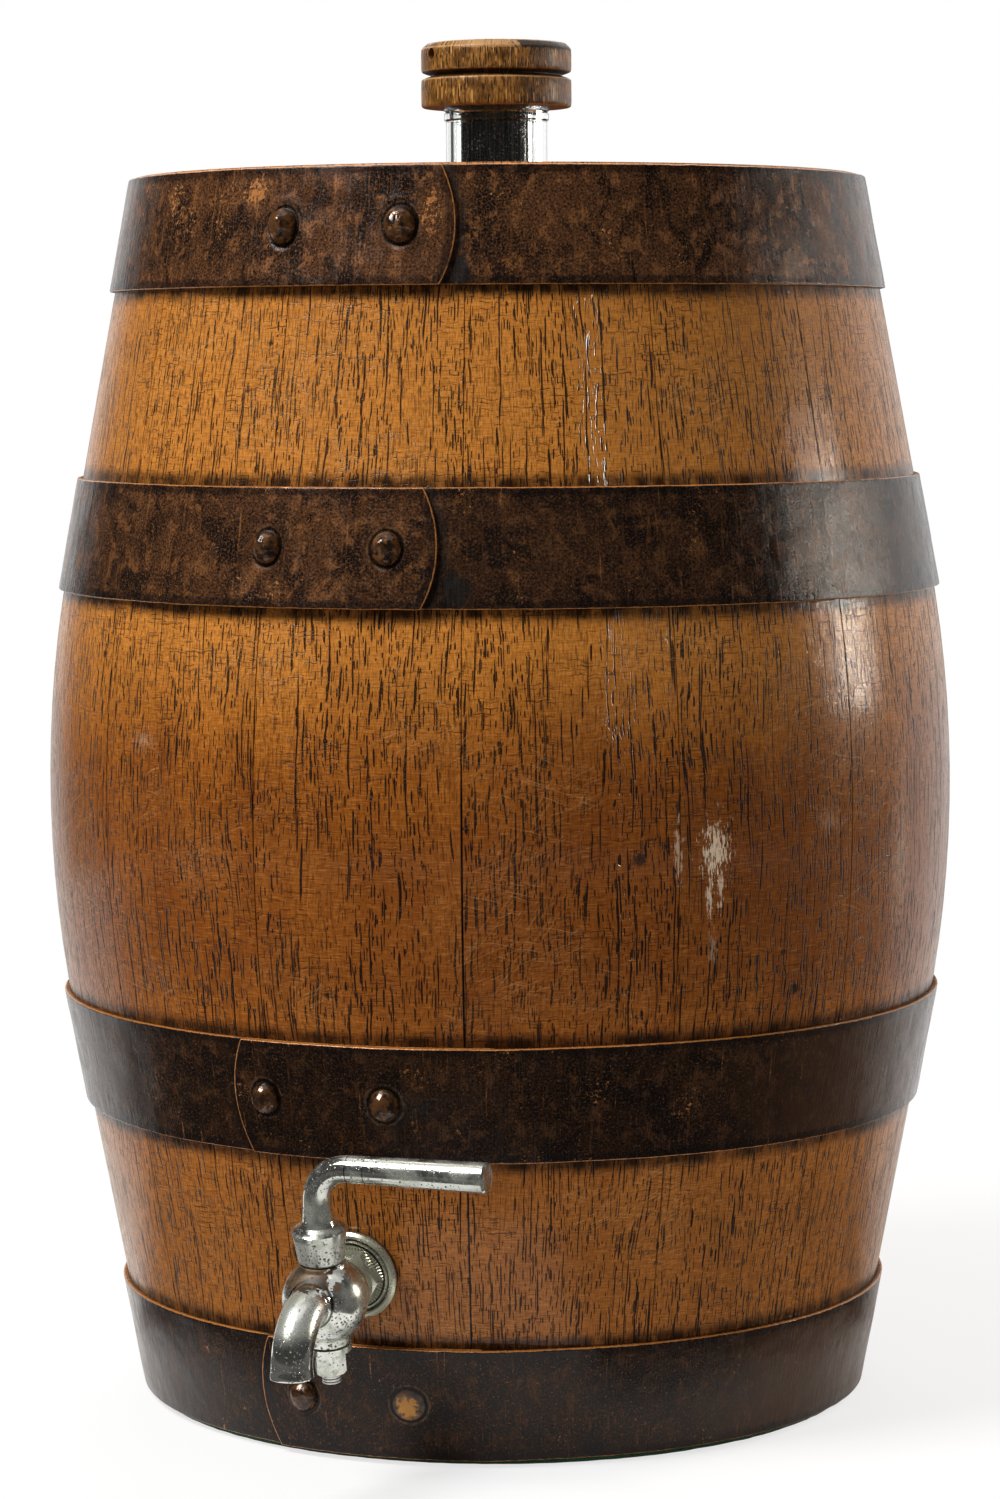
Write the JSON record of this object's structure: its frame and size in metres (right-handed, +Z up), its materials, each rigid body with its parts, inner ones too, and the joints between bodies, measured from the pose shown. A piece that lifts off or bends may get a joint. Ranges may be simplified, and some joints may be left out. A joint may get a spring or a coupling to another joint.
{
  "type": "counter cask dispenser",
  "caption": "Small upright oak cask with four riveted copper hoops, a glass filler tube with a turned stopper, an inner vessel and a chromed lever tap.",
  "frame": {"origin": "centre of the felt pad's underside, on the cask's axis", "axes": "+Z up along the cask's axis, -Y out of the front where the tap is, +X to the right of someone facing the tap"},
  "size_m": [0.284, 0.3206, 0.4231],
  "materials": {
    "oak_staves": "varnished oak with dark filled pores",
    "oak_heads": "varnished oak",
    "green_felt": "pressed wool felt",
    "aged_copper": "copper with a dark brown patina, worn bright at the edges",
    "aged_copper_rivets": "copper with a dark brown patina",
    "liner_glass": "clear moulded glass",
    "cork": "agglomerated cork",
    "seal_rubber": "black rubber",
    "seal_clear": "clear flexible seal",
    "tube_glass": "clear glass tube",
    "bush_brass": "tarnished brass",
    "stopper_oak": "turned oak, worn",
    "sleeve_chrome": "bright chrome",
    "tap_chrome": "pitted chrome, worn",
    "key_brass": "machined brass",
    "back_brass": "machined brass",
    "washer_leather": "dark pressed leather"
  },
  "bodies": {
    "cask": {"stave_01": "oak_staves", "stave_02": "oak_staves", "stave_03": "oak_staves", "stave_04": "oak_staves", "stave_05": "oak_staves", "stave_06": "oak_staves", "stave_07": "oak_staves", "stave_08": "oak_staves", "stave_09": "oak_staves", "stave_10": "oak_staves", "stave_11": "oak_staves", "stave_12": "oak_staves", "stave_13": "oak_staves", "stave_14": "oak_staves", "top_board_1": "oak_heads", "top_board_2": "oak_heads", "top_board_3": "oak_heads", "foot_board_1": "oak_heads", "foot_board_2": "oak_heads", "foot_board_3": "oak_heads", "felt_pad": "green_felt", "hoop_top_end": "aged_copper", "rivets_top_end": "aged_copper_rivets", "hoop_top_bulge": "aged_copper", "rivets_top_bulge": "aged_copper_rivets", "hoop_foot_bulge": "aged_copper", "rivets_foot_bulge": "aged_copper_rivets", "hoop_foot_end": "aged_copper", "rivets_foot_end": "aged_copper_rivets", "liner": "liner_glass", "liner_cushion": "cork", "liner_grommet": "seal_rubber", "filler_tube": "tube_glass", "head_bush": "bush_brass", "tap_body": "tap_chrome", "tap_leather": "washer_leather", "tap_flange": "tap_chrome", "tap_tooth_washer": "tap_chrome", "tap_nut": "tap_chrome", "tap_back_washer": "back_brass", "tap_back_nut": "back_brass", "tap_liner_seal": "seal_rubber"},
    "tap_key": {"tap_key": "key_brass", "tap_lever": "tap_chrome", "key_washer": "tap_chrome", "key_nut": "tap_chrome"},
    "stopper": {"stopper_knob": "stopper_oak", "stopper_seal": "seal_clear", "stopper_sleeve": "sleeve_chrome"}
  },
  "joints": [
    {"name": "tap_turn", "type": "hinge", "parent": "cask", "child": "tap_key", "pos_m": [0, -0.14721, 0.05462], "axis": [0, -0.184, 0.9829], "range_deg": [-180, 0]},
    {"name": "stopper_lift", "type": "slide", "parent": "cask", "child": "stopper", "axis": [0, 0, 1], "range_m": [0, 0.12]}
  ]
}
